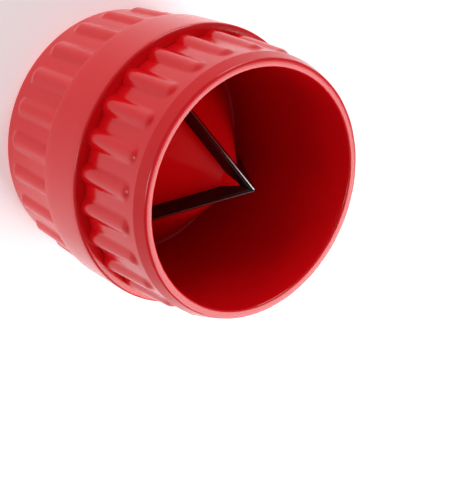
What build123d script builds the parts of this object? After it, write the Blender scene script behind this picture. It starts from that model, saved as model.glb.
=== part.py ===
"""Inner-outer pipe deburring tool: a grip drum made of two moulded shells that clamp three steel blades.

The drum stands on its outer-deburring mouth. The drum's axis is +Z, the origin is the centre of
the resting rim, and the inner-deburring mouth faces up. All sizes are in millimetres.
"""
import os
from math import radians, sin, tan

from build123d import *

os.makedirs("parts", exist_ok=True)

# Drum
height = 52.0
mouth_inner_radius = 25.0
mouth_outer_radius = 26.7
shoulder_radius = 27.6
bevel_height = 2.8
joint_radius = 27.3

# Belt: the smooth collar round the middle
belt_radius = 30.0
belt_rear_radius = 29.6
belt_front_z = 32.3
belt_rear_z = 20.4
belt_edge_round = 0.5

# Rear grip band and resting rim
rear_band_top_radius = 28.3
rear_band_bottom_radius = 27.2
rear_band_bottom_z = 1.9
rear_rim_radius = 25.7
rear_rim_round = 0.9

# Cones: the male cone and the funnel are parallel webs
cone_half_angle = 36.0
cone_slope = 1 / tan(radians(cone_half_angle))
web_thickness = 2.0
web_gap = 0.12
web_height = web_thickness / sin(radians(cone_half_angle))
web_gap_height = web_gap / sin(radians(cone_half_angle))
cone_apex_z = 46.5
cone_root_radius = 24.0
cone_boss_radius = 2.2
cone_boss_z = 50.5

# Spigot of the front shell, nested in the rear shell
fit_gap = 0.05
spigot_step_z = 21.0
spigot_radius = 26.0
spigot_root_radius = 24.4
snap_bead_z = 26.2
snap_bead_height = 0.35
snap_bead_half_width = 0.9

# Mouth of the funnel
funnel_root_radius = 24.0
funnel_mouth_radius = 24.3

# Blades
blade_count = 3
blade_first_angle = 90.0
blade_thickness = 1.3
blade_edge_apex_z = 51.7
blade_rear_stand_out = 2.6
blade_end_radius = 24.1
blade_tab_length = 1.2
blade_tab_height = 3.0
blade_tip_gap = 0.06
edge_bevel = 0.35
mitre_angle = 180 / blade_count

# Slots and notches that the blades stand in
slot_clearance = 0.05
slot_end_clearance = 0.15
rear_slot_bottom_z = 0.5
tab_clearance = 0.1

# Grip ribs
rib_count = 24
rib_first_angle = 10.0
rib_radius = 2.4
front_rib_tip_radius = 28.3
front_rib_foot_radius = 28.75
front_rib_tip_z = 45.7
front_rib_inner_radius = 26.3
rear_rib_top_radius = 29.25
rear_rib_tip_radius = 28.35
rear_rib_tip_z = 6.2
rear_rib_inner_radius = 26.7
rear_rib_overlap = 0.2

# How far a cutting shape runs past the material, and the slack when corners are picked out
overcut = 1.0
pick_slack = 0.1

# Heights that follow from the sizes above
front_underside_apex_z = cone_apex_z - web_height
rear_topside_apex_z = front_underside_apex_z - web_gap_height
funnel_apex_z = rear_topside_apex_z - web_height
blade_rear_apex_z = funnel_apex_z - blade_rear_stand_out / sin(radians(cone_half_angle))
spigot_end_z = front_underside_apex_z - cone_slope * spigot_root_radius
seat_z = spigot_end_z - web_gap_height
cone_root_z = cone_apex_z - cone_slope * cone_root_radius
funnel_root_z = funnel_apex_z - cone_slope * funnel_root_radius
front_rib_foot_z = belt_front_z + fit_gap
rear_rib_root_z = belt_rear_z + rear_rib_overlap


def make_rib(tip_radius, tip_z, root_radius, root_z, inner_radius):
    """One grip rib over the +X axis: a round bar with a ball at its free tip, cut flat on its root.

    Nothing of it reaches inside inner_radius, so it stays within the wall that it stands on.
    """
    bar_tip = Vector(tip_radius - rib_radius, 0, tip_z)
    bar_root = Vector(root_radius - rib_radius, 0, root_z)
    rise = (bar_root.X - bar_tip.X) / (bar_root.Z - bar_tip.Z)
    overrun = Vector(rise, 0, 1) * (rib_radius if root_z > tip_z else -rib_radius)
    bar_plane = Plane(origin=bar_tip, x_dir=(0, 1, 0), z_dir=bar_root - bar_tip)
    with BuildPart() as rib:
        with BuildSketch(bar_plane):
            Circle(rib_radius)
        extrude(amount=(bar_root + overrun - bar_tip).length)
        with Locations(bar_tip):
            Sphere(rib_radius)
        split(bisect_by=Plane.XY.offset(root_z), keep=Keep.BOTTOM if root_z > tip_z else Keep.TOP)
        Cylinder(inner_radius, 2 * (height + overcut), mode=Mode.SUBTRACT)
    return rib.part


def make_slot(bottom_z, top_z):
    """The straight slot that a blade stands in, over the +X axis."""
    slot_end = blade_end_radius + slot_end_clearance
    with BuildPart() as slot:
        with BuildSketch(Plane.XY.offset(bottom_z)):
            with Locations((slot_end / 2, 0)):
                Rectangle(slot_end, blade_thickness + 2 * slot_clearance)
        extrude(amount=top_z - bottom_z)
    return slot.part


# Front shell: bevelled mouth, grip ribs, male cone and the spigot that enters the rear shell
with BuildPart() as front_shell:
    boss_foot_z = cone_apex_z - cone_slope * cone_boss_radius
    with BuildSketch(Plane.XZ):
        with BuildLine():
            Polyline(
                (0, cone_boss_z),
                (cone_boss_radius, boss_foot_z),
                (cone_root_radius, cone_root_z),
                (mouth_inner_radius, height),
                (mouth_outer_radius, height),
                (shoulder_radius, height - bevel_height),
                (joint_radius, front_rib_foot_z),
                (joint_radius, snap_bead_z + snap_bead_half_width),
                (joint_radius + snap_bead_height, snap_bead_z),
                (joint_radius, snap_bead_z - snap_bead_half_width),
                (joint_radius, spigot_step_z),
                (spigot_radius, spigot_step_z),
                (spigot_radius, spigot_end_z),
                (spigot_root_radius, spigot_end_z),
                (0, front_underside_apex_z),
                close=True,
            )
        make_face()
    revolve(axis=Axis.Z)
    front_rib = make_rib(
        front_rib_tip_radius, front_rib_tip_z, front_rib_foot_radius, front_rib_foot_z, front_rib_inner_radius
    )
    with PolarLocations(0, rib_count, start_angle=rib_first_angle):
        add(front_rib)
    with PolarLocations(0, blade_count, start_angle=blade_first_angle):
        add(make_slot(spigot_end_z - overcut, height), mode=Mode.SUBTRACT)
    notch_end = blade_end_radius + blade_tab_length + tab_clearance
    notch_start = spigot_root_radius - overcut
    notch_middle = (notch_start + notch_end) / 2
    with BuildSketch(Plane.XY.offset(spigot_end_z)):
        with PolarLocations(notch_middle, blade_count, start_angle=blade_first_angle):
            Rectangle(notch_end - notch_start, blade_thickness + 2 * slot_clearance)
    extrude(amount=blade_tab_height + tab_clearance, mode=Mode.SUBTRACT)
front_shell.part.label = "front_shell"
export_step(front_shell.part, "parts/front_shell.step")

# Rear shell: belt, grip ribs, funnel and the rim that the tool stands on
with BuildPart() as rear_shell:
    with BuildSketch(Plane.XZ) as rear_outline:
        with BuildLine():
            Polyline(
                (0, funnel_apex_z),
                (funnel_root_radius, funnel_root_z),
                (funnel_mouth_radius, 0),
                (rear_rim_radius, 0),
                (rear_band_bottom_radius, rear_band_bottom_z),
                (rear_band_top_radius, belt_rear_z),
                (belt_rear_radius, belt_rear_z),
                (belt_radius, belt_front_z),
                (joint_radius + fit_gap, belt_front_z),
                (joint_radius + fit_gap, snap_bead_z + snap_bead_half_width),
                (joint_radius + snap_bead_height + fit_gap, snap_bead_z),
                (joint_radius + fit_gap, snap_bead_z - snap_bead_half_width),
                (joint_radius + fit_gap, spigot_step_z - fit_gap),
                (spigot_radius + fit_gap, spigot_step_z - fit_gap),
                (spigot_radius + fit_gap, seat_z),
                (spigot_root_radius, seat_z),
                (0, rear_topside_apex_z),
                close=True,
            )
        make_face()
        belt_corners = rear_outline.vertices().filter_by_position(
            Axis.X, belt_rear_radius - pick_slack, belt_radius + pick_slack
        )
        fillet(belt_corners, belt_edge_round)
        outer_corners = rear_outline.vertices().filter_by_position(
            Axis.X, rear_rim_radius - pick_slack, rear_band_bottom_radius + pick_slack
        )
        rim_corners = outer_corners.filter_by_position(Axis.Y, -pick_slack, rear_band_bottom_z + pick_slack)
        fillet(rim_corners, rear_rim_round)
    revolve(axis=Axis.Z)
    rear_rib = make_rib(
        rear_rib_tip_radius, rear_rib_tip_z, rear_rib_top_radius, rear_rib_root_z, rear_rib_inner_radius
    )
    with PolarLocations(0, rib_count, start_angle=rib_first_angle):
        add(rear_rib)
    with PolarLocations(0, blade_count, start_angle=blade_first_angle):
        add(make_slot(rear_slot_bottom_z, height), mode=Mode.SUBTRACT)
rear_shell.part.label = "rear_shell"
export_step(rear_shell.part, "parts/rear_shell.step")

# Blade: one flat steel strip whose upper edge cuts inside a pipe and whose lower edge cuts outside it
with BuildPart() as blade:
    with BuildSketch(Plane.XZ):
        with BuildLine():
            Polyline(
                (0, blade_edge_apex_z),
                (blade_end_radius, blade_edge_apex_z - cone_slope * blade_end_radius),
                (blade_end_radius, spigot_end_z + blade_tab_height),
                (blade_end_radius + blade_tab_length, spigot_end_z + blade_tab_height),
                (blade_end_radius + blade_tab_length, spigot_end_z),
                (blade_end_radius, spigot_end_z),
                (blade_end_radius, blade_rear_apex_z - cone_slope * blade_end_radius),
                (0, blade_rear_apex_z),
                close=True,
            )
        make_face()
    extrude(amount=blade_thickness / 2, both=True)
    edge_axis = Axis(origin=(0, 0, blade_edge_apex_z), direction=(1, 0, -cone_slope))
    chamfer(blade.edges().filter_by(edge_axis), edge_bevel)
    half_thickness = blade_thickness / 2
    mitre_start = blade_tip_gap + half_thickness / tan(radians(mitre_angle))
    plan_end = blade_end_radius + blade_tab_length + overcut
    with BuildSketch():
        with BuildLine():
            Polyline(
                (blade_tip_gap, 0),
                (mitre_start, half_thickness),
                (plan_end, half_thickness),
                (plan_end, -half_thickness),
                (mitre_start, -half_thickness),
                close=True,
            )
        make_face()
    extrude(amount=height, mode=Mode.INTERSECT)

# The three blades meet on the axis, each with a mitred tip
for index in range(blade_count):
    angle = blade_first_angle + index * 360 / blade_count
    placed = blade.part.rotate(Axis.Z, angle)
    placed.label = f"blade_{index + 1}"
    export_step(placed, f"parts/blade_{index + 1}.step")
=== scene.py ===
"""The looks of an inner-outer pipe deburring tool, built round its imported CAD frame.

The drum stands on its funnel mouth with the male cone's mouth up. Sizes of the object are in
millimetres here and become metres when a mesh is made; the stage and its lights are in metres.
"""
import math

import bmesh
import bpy
import numpy as np
from mathutils import Matrix, Vector

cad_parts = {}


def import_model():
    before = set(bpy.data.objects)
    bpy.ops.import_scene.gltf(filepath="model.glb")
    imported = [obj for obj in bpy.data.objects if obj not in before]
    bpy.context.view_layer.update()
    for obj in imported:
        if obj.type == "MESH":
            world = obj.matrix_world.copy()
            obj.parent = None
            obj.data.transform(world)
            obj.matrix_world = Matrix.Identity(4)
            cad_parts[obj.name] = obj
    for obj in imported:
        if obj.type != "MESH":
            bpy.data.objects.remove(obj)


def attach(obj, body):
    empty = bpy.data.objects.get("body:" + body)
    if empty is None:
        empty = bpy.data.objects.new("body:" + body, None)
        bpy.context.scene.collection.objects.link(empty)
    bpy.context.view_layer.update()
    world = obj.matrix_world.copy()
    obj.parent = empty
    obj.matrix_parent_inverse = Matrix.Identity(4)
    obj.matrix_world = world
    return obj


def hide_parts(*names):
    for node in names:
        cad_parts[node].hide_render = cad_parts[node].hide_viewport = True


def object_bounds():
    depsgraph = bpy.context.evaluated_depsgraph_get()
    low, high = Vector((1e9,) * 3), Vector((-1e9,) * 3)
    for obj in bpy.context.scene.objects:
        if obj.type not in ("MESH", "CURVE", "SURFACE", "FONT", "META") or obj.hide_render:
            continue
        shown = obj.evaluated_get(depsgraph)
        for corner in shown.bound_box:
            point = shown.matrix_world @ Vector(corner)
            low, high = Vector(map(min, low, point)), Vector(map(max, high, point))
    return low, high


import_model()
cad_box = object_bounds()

MM = 0.001

# ---------------------------------------------------------------- drum, in millimetres
HEIGHT = (cad_box[1].z - cad_box[0].z) / MM
MOUTH_INNER_RADIUS = 25.0
MOUTH_OUTER_RADIUS = 26.7
SHOULDER_RADIUS = 27.6
BEVEL_HEIGHT = 2.8
JOINT_RADIUS = 27.3
FIT_GAP = 0.05
BELT_RADIUS = 29.95
BELT_REAR_RADIUS = 29.6
BELT_FRONT_Z = 32.3
BELT_REAR_Z = 20.4
REAR_BAND_TOP_RADIUS = 28.3
REAR_BAND_BOTTOM_RADIUS = 27.2
REAR_BAND_BOTTOM_Z = 1.9
REAR_RIM_RADIUS = 25.7

# Cone and funnel: parallel webs of the same half angle
CONE_HALF_ANGLE = math.radians(36)
CONE_SLOPE = 1 / math.tan(CONE_HALF_ANGLE)
WEB_HEIGHT = 2.0 / math.sin(CONE_HALF_ANGLE)
WEB_GAP_HEIGHT = 0.12 / math.sin(CONE_HALF_ANGLE)
CONE_APEX_Z = 46.5
CONE_ROOT_RADIUS = 24.0
CONE_BOSS_RADIUS = 2.2
CONE_BOSS_Z = 50.5
SPIGOT_STEP_Z = 21.0
SPIGOT_RADIUS = 26.0
SPIGOT_ROOT_RADIUS = 24.4
FUNNEL_ROOT_RADIUS = 24.0
FUNNEL_MOUTH_RADIUS = 24.3

# Rounded corners of the mouldings
BOSS_FOOT_ROUND = 0.8
CONE_ROOT_ROUND = 0.3
LIP_INNER_ROUND = 0.4
LIP_OUTER_ROUND = 0.55
SHOULDER_ROUND = 0.35
BELT_ROUND = 0.5
BELT_FOOT_ROUND = 0.25
JOINT_EDGE_ROUND = 0.1
FUNNEL_ROOT_ROUND = 0.6
FUNNEL_MOUTH_ROUND = 0.4
REAR_RIM_ROUND = 0.9

# Blades and the slots they stand in
BLADE_COUNT = 3
BLADE_FIRST_ANGLE = math.radians(90)
BLADE_HALF_STEP = math.pi / BLADE_COUNT
BLADE_THICKNESS = 1.3
BLADE_EDGE_APEX_Z = 51.7
BLADE_REAR_STAND_OUT = 2.6
BLADE_END_RADIUS = 24.1
BLADE_TAB_LENGTH = 1.2
BLADE_TAB_HEIGHT = 3.0
BLADE_TIP_GAP = 0.07
BLADE_LAND_HALF_WIDTH = 0.13
BLADE_EDGE_DROP = 0.40
BLADE_SIDE_DROP = 0.45
BLADE_SIDE_ROUND = 0.05
SLOT_CLEARANCE = 0.05
SLOT_END_RADIUS = BLADE_END_RADIUS + 0.15
REAR_SLOT_BOTTOM_Z = 0.5
OVERCUT = 1.0

# Heights that follow from the sizes above
CONE_ROOT_Z = CONE_APEX_Z - CONE_SLOPE * CONE_ROOT_RADIUS
UNDERSIDE_APEX_Z = CONE_APEX_Z - WEB_HEIGHT
TOPSIDE_APEX_Z = UNDERSIDE_APEX_Z - WEB_GAP_HEIGHT
FUNNEL_APEX_Z = TOPSIDE_APEX_Z - WEB_HEIGHT
BLADE_REAR_APEX_Z = FUNNEL_APEX_Z - BLADE_REAR_STAND_OUT / math.sin(CONE_HALF_ANGLE)
SPIGOT_END_Z = UNDERSIDE_APEX_Z - CONE_SLOPE * SPIGOT_ROOT_RADIUS
SEAT_Z = SPIGOT_END_Z - WEB_GAP_HEIGHT
FUNNEL_ROOT_Z = FUNNEL_APEX_Z - CONE_SLOPE * FUNNEL_ROOT_RADIUS

# Grip ribs, their crests as (radius, height), and the part of each wall that carries them
RIB_COUNT = 24
RIB_PITCH = 2 * math.pi / RIB_COUNT
RIB_FIRST_ANGLE = math.radians(10)
RIB_RADIUS = 2.1
RIB_FOOT_BLEND = 0.9
FRONT_RIB_TIP = (28.3, 45.7)
FRONT_RIB_ROOT = (28.6, BELT_FRONT_Z + FIT_GAP)
REAR_RIB_TIP = (28.35, 6.2)
REAR_RIB_ROOT = (29.25, BELT_REAR_Z)
FRONT_RIBS_OUTSIDE_RADIUS = 26.45
REAR_RIBS_OUTSIDE_RADIUS = 26.3
REAR_RIBS_ABOVE_Z = 0.8

# ---------------------------------------------------------------- mesh density, in millimetres
SEGMENTS = RIB_COUNT * 20
ARC_STEPS = 5
FINE_STEP = 0.3
COARSE_STEP = 1.5
FRONT_FINE_OUTSIDE_RADIUS = 26.2
FRONT_FINE_ABOVE_Z = BELT_FRONT_Z - 0.5
REAR_FINE_OUTSIDE_RADIUS = 26.5
REAR_FINE_BELOW_Z = BELT_REAR_Z - 0.3
ON_AXIS_RADIUS = 1e-9
SHARP_EDGE_ANGLE = math.radians(35)

# Limits for welding a finished mesh, in metres
WELD_DISTANCE = 1e-7
SLIVER_LENGTH = 1e-8

# ---------------------------------------------------------------- finishes, as linear colours
DEEP_RED = (0.75, 0.0032, 0.0070)
LIGHT_RED = (0.79, 0.0036, 0.0078)
DEEP_BLACK = (0.003, 0.003, 0.003)
WORN_BLACK = (0.008, 0.007, 0.007)
DULL_STEEL = (0.24, 0.22, 0.22)
BRIGHT_STEEL = (0.38, 0.36, 0.36)
FLOOR_SHADE = (0.86, 0.86, 0.86)
FLOOR_PALE = (0.88, 0.88, 0.88)
SKY = (0.94, 0.97, 1.06, 1)

# ---------------------------------------------------------------- stage and camera, in metres
FLOOR_HALF_WIDTH = 3.0
FLOOR_Z = -0.00005
FLOOR_GLOW = 0.36
FLOOR_GLOW_FADES_FROM = 0.10
FLOOR_GLOW_FADES_TO = 0.17
SKY_STRENGTH = 0.28
LIGHT_TARGET = Vector((0, 0, 0.025))
CAMERA_PLACE = Vector((-38.71, -200.8, 271.8)) * MM
CAMERA_UP = Vector((-0.9523, -0.0864, -0.2928))
CAMERA_RIGHT = Vector((-0.2569, 0.7448, 0.6158))
CAMERA_LENS = 112.46
CAMERA_SENSOR_WIDTH = 36
CAMERA_CLIP_START = 0.01


# ---------------------------------------------------------------- outlines and meshes of revolution
def rounded_outline(corners):
    """A closed outline through corners (radius, height, round), with each corner rounded by an arc."""
    points = []
    count = len(corners)
    for i, (x, z, radius) in enumerate(corners):
        here = np.array([x, z])
        if radius == 0:
            points.append(here)
            continue
        before = np.array(corners[i - 1][:2]) - here
        after = np.array(corners[(i + 1) % count][:2]) - here
        before /= np.linalg.norm(before)
        after /= np.linalg.norm(after)
        half = math.acos(np.clip(before @ after, -1, 1)) / 2
        bisector = (before + after) / np.linalg.norm(before + after)
        centre = here + bisector * radius / math.sin(half)
        start = here + before * radius / math.tan(half)
        end = here + after * radius / math.tan(half)
        first = math.atan2(*(start - centre)[::-1])
        turn = math.atan2(*(end - centre)[::-1]) - first
        turn = (turn + math.pi) % (2 * math.pi) - math.pi
        for k in range(ARC_STEPS + 1):
            angle = first + turn * k / ARC_STEPS
            points.append(centre + radius * np.array([math.cos(angle), math.sin(angle)]))
    return points


def runs_along_axis(here, after):
    return here[0] < ON_AXIS_RADIUS and after[0] < ON_AXIS_RADIUS


def divided(points, is_fine):
    """The outline with its long runs divided; is_fine says where the ribs need the finer step."""
    out = []
    for i, here in enumerate(points):
        after = points[(i + 1) % len(points)]
        out.append(here)
        if runs_along_axis(here, after):
            continue
        step = FINE_STEP if is_fine(*(here + after) / 2) else COARSE_STEP
        parts = max(1, math.ceil(np.linalg.norm(after - here) / step))
        out.extend(here + (after - here) * k / parts for k in range(1, parts))
    return np.array(out)


def smooth_max(a, b, blend):
    """The larger of a and b, with the crease between them rounded over a width of blend."""
    overlap = np.maximum(blend - np.abs(a - b), 0) / blend
    return np.maximum(a, b) + overlap * overlap * blend / 4


def with_ribs(radius, z, angle, tip, root):
    """The surface radius with grip ribs: round bars from root to tip, both (crest radius, height)."""
    along = (z - tip[1]) / (root[1] - tip[1])
    axis_radius = tip[0] + (root[0] - tip[0]) * np.maximum(along, 0) - RIB_RADIUS
    beyond_tip = np.where(along < 0, z - tip[1], 0)
    offset = (angle - RIB_FIRST_ANGLE + RIB_PITCH / 2) % RIB_PITCH - RIB_PITCH / 2
    inside = RIB_RADIUS ** 2 - beyond_tip ** 2 - (axis_radius * np.sin(offset)) ** 2
    bar = axis_radius * np.cos(offset) + np.sqrt(np.maximum(inside, 0))
    return smooth_max(radius, bar, RIB_FOOT_BLEND)


def linked(name, data):
    """A new object in the scene for a mesh, a light or a camera."""
    piece = bpy.data.objects.new(name, data)
    bpy.context.scene.collection.objects.link(piece)
    return piece


def mesh_from(bm, name):
    """A mesh from bm, which is freed."""
    mesh = bpy.data.meshes.new(name)
    bm.to_mesh(mesh)
    bm.free()
    return mesh


def revolved(name, outline, relief):
    """A closed mesh of revolution about +Z from an outline in millimetres; relief moves its radius.

    The segments start half a step round, so that no column of vertices meets a corner of the slots.
    """
    angles = (np.arange(SEGMENTS) + 0.5) * 2 * math.pi / SEGMENTS
    radius = np.repeat(outline[:, :1], SEGMENTS, axis=1)
    z = np.repeat(outline[:, 1:], SEGMENTS, axis=1)
    radius = relief(radius, z, angles[None, :])
    verts = np.stack([radius * np.cos(angles), radius * np.sin(angles), z], -1).reshape(-1, 3) * MM
    rows = len(outline)
    faces = []
    for i in range(rows):
        j = (i + 1) % rows
        if runs_along_axis(outline[i], outline[j]):
            continue
        for k in range(SEGMENTS):
            m = (k + 1) % SEGMENTS
            faces.append((i * SEGMENTS + k, i * SEGMENTS + m, j * SEGMENTS + m, j * SEGMENTS + k))
    mesh = bpy.data.meshes.new(name)
    mesh.from_pydata(verts.tolist(), [], faces)
    bm = bmesh.new()
    bm.from_mesh(mesh)
    bmesh.ops.remove_doubles(bm, verts=bm.verts, dist=WELD_DISTANCE)
    bmesh.ops.dissolve_degenerate(bm, edges=bm.edges, dist=SLIVER_LENGTH)
    bmesh.ops.recalc_face_normals(bm, faces=bm.faces)
    bm.to_mesh(mesh)
    bm.free()
    return linked(name, mesh)


def cut(piece, cutter):
    """Takes the cutter out of the piece, exactly, and removes it."""
    modifier = piece.modifiers.new("cut", "BOOLEAN")
    modifier.operation = "DIFFERENCE"
    modifier.solver = "EXACT"
    modifier.object = cutter
    bpy.context.view_layer.update()
    evaluated = piece.evaluated_get(bpy.context.evaluated_depsgraph_get())
    mesh = bpy.data.meshes.new_from_object(evaluated)
    piece.modifiers.clear()
    piece.data = mesh
    bpy.data.objects.remove(cutter)


def blade_angles():
    return [BLADE_FIRST_ANGLE + i * 2 * BLADE_HALF_STEP for i in range(BLADE_COUNT)]


def slot_cutter(low, high):
    """The slots for all the blades as one upright star-shaped prism about +Z, between two heights."""
    half = BLADE_THICKNESS / 2 + SLOT_CLEARANCE
    inner_corner = half / math.sin(BLADE_HALF_STEP)
    plan = []
    for angle in blade_angles():
        turn = Matrix.Rotation(angle, 3, "Z")
        plan.append(turn @ Vector((SLOT_END_RADIUS, -half, 0)))
        plan.append(turn @ Vector((SLOT_END_RADIUS, half, 0)))
        plan.append(Matrix.Rotation(angle + BLADE_HALF_STEP, 3, "Z") @ Vector((inner_corner, 0, 0)))
    bm = bmesh.new()
    bottom, top = [[bm.verts.new((p + Vector((0, 0, z))) * MM) for p in plan] for z in (low, high)]
    bm.faces.new(reversed(bottom))
    bm.faces.new(top)
    for i in range(len(plan)):
        j = (i + 1) % len(plan)
        bm.faces.new((bottom[i], bottom[j], top[j], top[i]))
    return linked("slots", mesh_from(bm, "slots"))


# ---------------------------------------------------------------- materials
def node_material(name):
    """A new material, its Principled shader, its links and the object's own coordinates, in metres."""
    material = bpy.data.materials.new(name)
    material.use_nodes = True
    tree = material.node_tree
    place = tree.nodes.new("ShaderNodeTexCoord").outputs["Object"]
    return material, tree, tree.nodes["Principled BSDF"].inputs, place


def noise(tree, place, scale, detail):
    node = tree.nodes.new("ShaderNodeTexNoise")
    node.inputs["Scale"].default_value = scale
    node.inputs["Detail"].default_value = detail
    node.inputs["Roughness"].default_value = 0.5
    tree.links.new(place, node.inputs["Vector"])
    return node.outputs["Fac"]


def ranged(tree, value, start, end, first, last):
    """The value, mapped from start..end to first..last."""
    node = tree.nodes.new("ShaderNodeMapRange")
    node.inputs["From Min"].default_value = start
    node.inputs["From Max"].default_value = end
    node.inputs["To Min"].default_value = first
    node.inputs["To Max"].default_value = last
    tree.links.new(value, node.inputs["Value"])
    return node.outputs["Result"]


def mixed(tree, factor, first, second):
    """A colour between first and second, by factor."""
    node = tree.nodes.new("ShaderNodeMix")
    node.data_type = "RGBA"
    node.inputs["A"].default_value = (*first, 1)
    node.inputs["B"].default_value = (*second, 1)
    tree.links.new(factor, node.inputs["Factor"])
    return node.outputs["Result"]


def red_plastic():
    """Glossy moulded plastic: a fine mottle in the colour, cloudy gloss and a very fine grain."""
    material, tree, shader, place = node_material("red_plastic")
    cloud = noise(tree, place, scale=60, detail=3)
    mottle = noise(tree, place, scale=700, detail=2)
    grain = noise(tree, place, scale=2600, detail=2)
    tree.links.new(mixed(tree, mottle, DEEP_RED, LIGHT_RED), shader["Base Color"])
    tree.links.new(ranged(tree, cloud, 0.0, 1.0, 0.12, 0.24), shader["Roughness"])
    bump = tree.nodes.new("ShaderNodeBump")
    bump.inputs["Strength"].default_value = 0.25
    bump.inputs["Distance"].default_value = 0.00003
    tree.links.new(grain, bump.inputs["Height"])
    tree.links.new(bump.outputs["Normal"], shader["Normal"])
    shader["IOR"].default_value = 1.5
    return material


def blackened_steel():
    """Black oxide: near black, with cloudy gloss."""
    material, tree, shader, place = node_material("blackened_steel")
    cloud = noise(tree, place, scale=300, detail=4)
    tree.links.new(mixed(tree, cloud, DEEP_BLACK, WORN_BLACK), shader["Base Color"])
    tree.links.new(ranged(tree, cloud, 0.0, 1.0, 0.16, 0.32), shader["Roughness"])
    shader["IOR"].default_value = 1.45
    return material


def ground_steel():
    """Bare steel with the fine marks of grinding, on the cutting edges."""
    material, tree, shader, place = node_material("ground_steel")
    marks = noise(tree, place, scale=1500, detail=3)
    tree.links.new(mixed(tree, marks, DULL_STEEL, BRIGHT_STEEL), shader["Base Color"])
    tree.links.new(ranged(tree, marks, 0.0, 1.0, 0.3, 0.5), shader["Roughness"])
    shader["Metallic"].default_value = 1.0
    return material


# ---------------------------------------------------------------- pieces
def finish_piece(piece, node, materials):
    for material in materials:
        piece.data.materials.append(material)
    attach(piece, "root")
    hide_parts(node)


def smooth_by_angle(piece):
    """Smooth faces with the sharper edges kept, so that flats stay flat and round faces stay round."""
    bm = bmesh.new()
    bm.from_mesh(piece.data)
    for edge in bm.edges:
        edge.smooth = len(edge.link_faces) == 2 and edge.calc_face_angle(0) < SHARP_EDGE_ANGLE
    for face in bm.faces:
        face.smooth = True
    bm.to_mesh(piece.data)
    bm.free()


def front_shell(plastic):
    """Bevelled mouth, grip ribs, male cone and the spigot that enters the rear shell."""
    corners = [
        (0, CONE_BOSS_Z, 0),
        (CONE_BOSS_RADIUS, CONE_APEX_Z - CONE_SLOPE * CONE_BOSS_RADIUS, BOSS_FOOT_ROUND),
        (CONE_ROOT_RADIUS, CONE_ROOT_Z, CONE_ROOT_ROUND),
        (MOUTH_INNER_RADIUS, HEIGHT, LIP_INNER_ROUND),
        (MOUTH_OUTER_RADIUS, HEIGHT, LIP_OUTER_ROUND),
        (SHOULDER_RADIUS, HEIGHT - BEVEL_HEIGHT, SHOULDER_ROUND),
        (JOINT_RADIUS, BELT_FRONT_Z + FIT_GAP, 0),
        (JOINT_RADIUS, SPIGOT_STEP_Z, 0),
        (SPIGOT_RADIUS, SPIGOT_STEP_Z, 0),
        (SPIGOT_RADIUS, SPIGOT_END_Z, 0),
        (SPIGOT_ROOT_RADIUS, SPIGOT_END_Z, 0),
        (0, UNDERSIDE_APEX_Z, 0),
    ]

    def is_fine(radius, z):
        return radius > FRONT_FINE_OUTSIDE_RADIUS and z > FRONT_FINE_ABOVE_Z

    def relief(radius, z, angle):
        ribbed = (radius > FRONT_RIBS_OUTSIDE_RADIUS) & (z > BELT_FRONT_Z)
        return np.where(ribbed, with_ribs(radius, z, angle, FRONT_RIB_TIP, FRONT_RIB_ROOT), radius)

    piece = revolved("front_shell_body", divided(rounded_outline(corners), is_fine), relief)
    cut(piece, slot_cutter(SPIGOT_END_Z - OVERCUT, HEIGHT + OVERCUT))
    smooth_by_angle(piece)
    finish_piece(piece, "front_shell", [plastic])


def rear_shell(plastic):
    """Belt, grip ribs, funnel and the rim that the tool stands on."""
    corners = [
        (0, FUNNEL_APEX_Z, 0),
        (FUNNEL_ROOT_RADIUS, FUNNEL_ROOT_Z, FUNNEL_ROOT_ROUND),
        (FUNNEL_MOUTH_RADIUS, 0, FUNNEL_MOUTH_ROUND),
        (REAR_RIM_RADIUS, 0, REAR_RIM_ROUND),
        (REAR_BAND_BOTTOM_RADIUS, REAR_BAND_BOTTOM_Z, REAR_RIM_ROUND),
        (REAR_BAND_TOP_RADIUS, BELT_REAR_Z, BELT_FOOT_ROUND),
        (BELT_REAR_RADIUS, BELT_REAR_Z, BELT_ROUND),
        (BELT_RADIUS, BELT_FRONT_Z, BELT_ROUND),
        (JOINT_RADIUS + FIT_GAP, BELT_FRONT_Z, JOINT_EDGE_ROUND),
        (JOINT_RADIUS + FIT_GAP, SPIGOT_STEP_Z - FIT_GAP, 0),
        (SPIGOT_RADIUS + FIT_GAP, SPIGOT_STEP_Z - FIT_GAP, 0),
        (SPIGOT_RADIUS + FIT_GAP, SEAT_Z, 0),
        (SPIGOT_ROOT_RADIUS, SEAT_Z, 0),
        (0, TOPSIDE_APEX_Z, 0),
    ]

    def is_fine(radius, z):
        return radius > REAR_FINE_OUTSIDE_RADIUS and z < REAR_FINE_BELOW_Z

    def relief(radius, z, angle):
        ribbed = (radius > REAR_RIBS_OUTSIDE_RADIUS) & (z < BELT_REAR_Z) & (z > REAR_RIBS_ABOVE_Z)
        return np.where(ribbed, with_ribs(radius, z, angle, REAR_RIB_TIP, REAR_RIB_ROOT), radius)

    piece = revolved("rear_shell_body", divided(rounded_outline(corners), is_fine), relief)
    cut(piece, slot_cutter(REAR_SLOT_BOTTOM_Z, HEIGHT + OVERCUT))
    smooth_by_angle(piece)
    finish_piece(piece, "rear_shell", [plastic])


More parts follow.
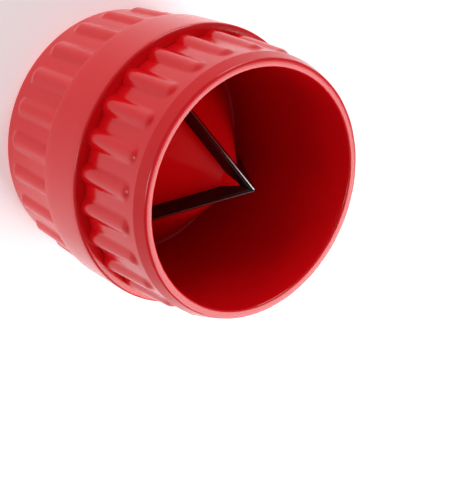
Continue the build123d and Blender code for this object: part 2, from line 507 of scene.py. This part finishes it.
def blade_layer(y, drop, inset):
    """The blade's outline (radius, height) at y across its thickness.

    The cutting edges are lowered by drop, and the outer end and its tab pulled in by inset.
    """
    start = abs(y) / math.tan(BLADE_HALF_STEP) + BLADE_TIP_GAP
    end = BLADE_END_RADIUS - inset
    tab = end + BLADE_TAB_LENGTH
    top = BLADE_EDGE_APEX_Z - drop
    low = BLADE_REAR_APEX_Z + drop
    return [
        (start, top - CONE_SLOPE * start),
        (end, top - CONE_SLOPE * end),
        (end, SPIGOT_END_Z + BLADE_TAB_HEIGHT - inset),
        (tab, SPIGOT_END_Z + BLADE_TAB_HEIGHT - inset),
        (tab, SPIGOT_END_Z + inset),
        (end, SPIGOT_END_Z + inset),
        (end, low - CONE_SLOPE * end),
        (start, low - CONE_SLOPE * start),
    ]


def blade(index, angle, black, ground):
    """One steel blade: dark faces, and cutting edges ground bright along a narrow land."""
    half = BLADE_THICKNESS / 2
    layers = [
        (-half, BLADE_SIDE_DROP, BLADE_SIDE_ROUND),
        (-half + BLADE_SIDE_ROUND, BLADE_EDGE_DROP, 0.0),
        (-BLADE_LAND_HALF_WIDTH, 0.0, 0.0),
    ]
    layers += [(-y, drop, inset) for y, drop, inset in reversed(layers)]
    bm = bmesh.new()
    rings = []
    for y, drop, inset in layers:
        rings.append([bm.verts.new(Vector((x, y, z)) * MM) for x, z in blade_layer(y, drop, inset)])
    bm.faces.new(rings[0])
    bm.faces.new(reversed(rings[-1]))
    land_ring = len(layers) // 2 - 1
    corner_count = len(rings[0])
    cutting_sides = (0, corner_count - 2)
    for i in range(len(rings) - 1):
        for k in range(corner_count):
            m = (k + 1) % corner_count
            face = bm.faces.new((rings[i][m], rings[i][k], rings[i + 1][k], rings[i + 1][m]))
            if k in cutting_sides and i == land_ring:
                face.material_index = 1
    bmesh.ops.recalc_face_normals(bm, faces=bm.faces)
    mesh = mesh_from(bm, "blade_%d_body" % index)
    mesh.transform(Matrix.Rotation(angle, 4, "Z"))
    finish_piece(linked(mesh.name, mesh), "blade_%d" % index, [black, ground])


# ---------------------------------------------------------------- stage
def area_light(name, azimuth, elevation, distance, width, power):
    """A square softbox that points at the middle of the drum, from a direction in degrees."""
    a, e = math.radians(azimuth), math.radians(elevation)
    direction = Vector((math.cos(a) * math.cos(e), math.sin(a) * math.cos(e), math.sin(e)))
    data = bpy.data.lights.new(name, "AREA")
    data.shape = "SQUARE"
    data.size = width
    data.energy = power
    light = linked(name, data)
    light.location = LIGHT_TARGET + direction * distance
    light.rotation_euler = (-direction).to_track_quat("-Z", "Y").to_euler()


def studio_lights():
    """A key behind the drum, and two low fills in front whose light the wall mirrors from the floor."""
    area_light("back_key", azimuth=60, elevation=36, distance=0.7, width=0.55, power=5.0)
    area_light("low_fill", azimuth=-76, elevation=11, distance=0.8, width=0.25, power=1.2)
    area_light("side_fill", azimuth=178, elevation=14, distance=0.9, width=0.4, power=2.8)


def floor():
    """A plain pale floor that glows a little round the drum, just under the resting rim."""
    far, z = FLOOR_HALF_WIDTH, FLOOR_Z
    mesh = bpy.data.meshes.new("floor")
    mesh.from_pydata([(-far, -far, z), (far, -far, z), (far, far, z), (-far, far, z)], [], [(0, 1, 2, 3)])
    material, tree, shader, place = node_material("floor")
    cloud = noise(tree, place, scale=40, detail=2)
    tree.links.new(mixed(tree, cloud, FLOOR_SHADE, FLOOR_PALE), shader["Base Color"])
    shader["Roughness"].default_value = 0.9
    shader["Emission Color"].default_value = (1, 1, 1, 1)
    reach = tree.nodes.new("ShaderNodeVectorMath")
    reach.operation = "LENGTH"
    tree.links.new(place, reach.inputs[0])
    glow = ranged(
        tree, reach.outputs["Value"], FLOOR_GLOW_FADES_FROM, FLOOR_GLOW_FADES_TO, FLOOR_GLOW, 0.0
    )
    tree.links.new(glow, shader["Emission Strength"])
    mesh.materials.append(material)
    linked("floor", mesh)


def world():
    studio = bpy.data.worlds.new("studio")
    bpy.context.scene.world = studio
    studio.use_nodes = True
    background = studio.node_tree.nodes["Background"]
    background.inputs["Color"].default_value = SKY
    background.inputs["Strength"].default_value = SKY_STRENGTH


def camera():
    """The camera above the drum's mouth, rolled so that the drum's axis runs across the picture."""
    data = bpy.data.cameras.new("camera")
    data.sensor_width = CAMERA_SENSOR_WIDTH
    data.lens = CAMERA_LENS
    data.clip_start = CAMERA_CLIP_START
    view = linked("camera", data)
    axes = Matrix((CAMERA_RIGHT, CAMERA_UP, CAMERA_RIGHT.cross(CAMERA_UP))).transposed()
    view.matrix_world = Matrix.Translation(CAMERA_PLACE) @ axes.to_4x4()
    bpy.context.scene.camera = view


red = red_plastic()
black_steel = blackened_steel()
bare_steel = ground_steel()
front_shell(red)
rear_shell(red)
for number, turn in enumerate(blade_angles(), start=1):
    blade(number, turn, black_steel, bare_steel)

floor()
world()
studio_lights()
camera()
bpy.context.scene.view_settings.view_transform = "Standard"
